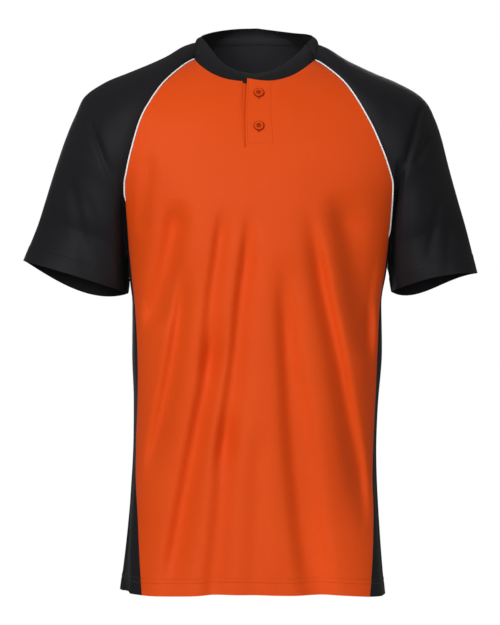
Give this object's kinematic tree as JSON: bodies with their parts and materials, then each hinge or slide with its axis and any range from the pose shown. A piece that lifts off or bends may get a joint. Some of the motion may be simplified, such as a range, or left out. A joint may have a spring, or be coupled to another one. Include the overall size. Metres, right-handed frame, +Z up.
{
  "type": "sports jersey",
  "caption": "Short-sleeved raglan baseball jersey, filled out as if worn, with a band collar, a short buttoned placket, piped front seams and dark side panels.",
  "frame": {"origin": "middle of the neck opening, level with the highest point of the shoulder seams, where the wearer's neck and shoulders hold the jersey up", "axes": "+Z up towards the collar, -Y towards the front with the placket, +X towards the wearer's left side"},
  "size_m": [0.618, 0.2568, 0.7748],
  "materials": {
    "orange_knit": "smooth polyester sports knit, orange, slight sheen",
    "black_knit": "smooth polyester sports knit, black",
    "collar_knit": "doubled black sports knit band",
    "white_piping": "white cord piping",
    "orange_button": "dyed-to-match resin button, satin"
  },
  "bodies": {
    "root": {"front_panel": "orange_knit", "back_panel": "black_knit", "side_panel_left": "black_knit", "side_panel_right": "black_knit", "sleeve_left": "black_knit", "sleeve_right": "black_knit", "collar": "collar_knit", "placket_over": "orange_knit", "placket_under": "orange_knit", "piping_left": "white_piping", "piping_right": "white_piping", "button_upper": "orange_button", "button_lower": "orange_button"}
  },
  "joints": []
}
